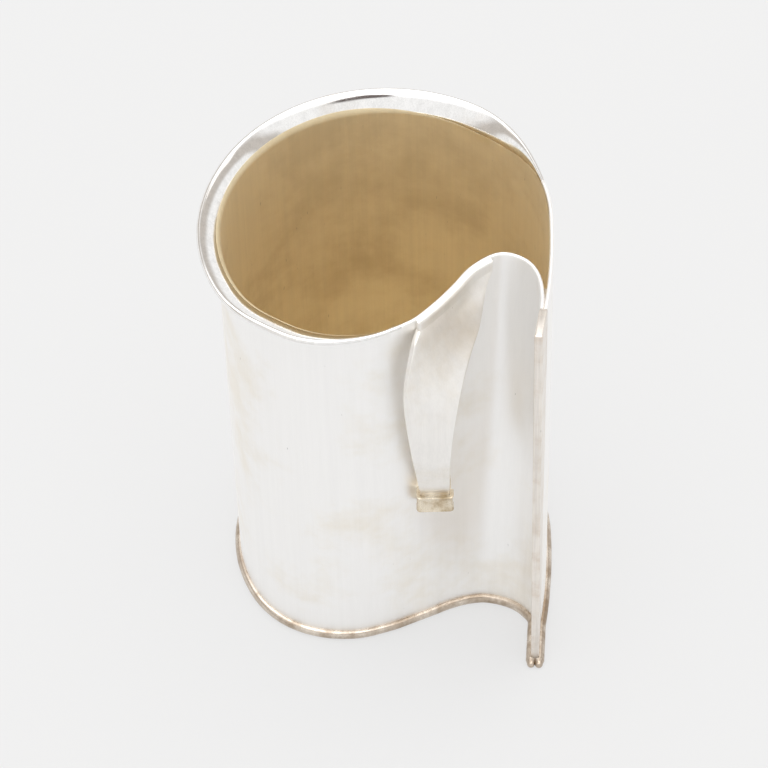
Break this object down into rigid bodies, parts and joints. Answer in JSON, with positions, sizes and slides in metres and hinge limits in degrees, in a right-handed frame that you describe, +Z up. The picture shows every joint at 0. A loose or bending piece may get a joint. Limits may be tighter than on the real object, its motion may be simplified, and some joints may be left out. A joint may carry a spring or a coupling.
{
  "type": "water pitcher",
  "caption": "Small upright silver pitcher, comma-shaped in plan, with a flared lip, a gilt inside, a hollow for the hand and a soldered strap handle.",
  "frame": {"origin": "middle of the bounding box, on the underside of the base", "axes": "+Z up out of the mouth, -Y towards the front where the hollow opens, +X towards the fin's side"},
  "size_m": [0.1115, 0.1142, 0.159],
  "materials": {
    "polished_silver": "polished",
    "lip_silver": "polished",
    "strap_silver": "polished",
    "wire_silver": "warm polished",
    "gilding": "satin gilt",
    "socket_gilt": "worn gilt"
  },
  "bodies": {
    "root": {"body_shell": "polished_silver", "recess_wall": "polished_silver", "flared_lip": "lip_silver", "base_plate": "polished_silver", "foot_wire": "wire_silver", "wire_tips": "wire_silver", "edge_bar": "wire_silver", "strap_handle": "strap_silver", "strap_socket": "socket_gilt", "shell_gilding": "gilding", "recess_gilding": "gilding", "floor_gilding": "gilding"}
  },
  "joints": []
}
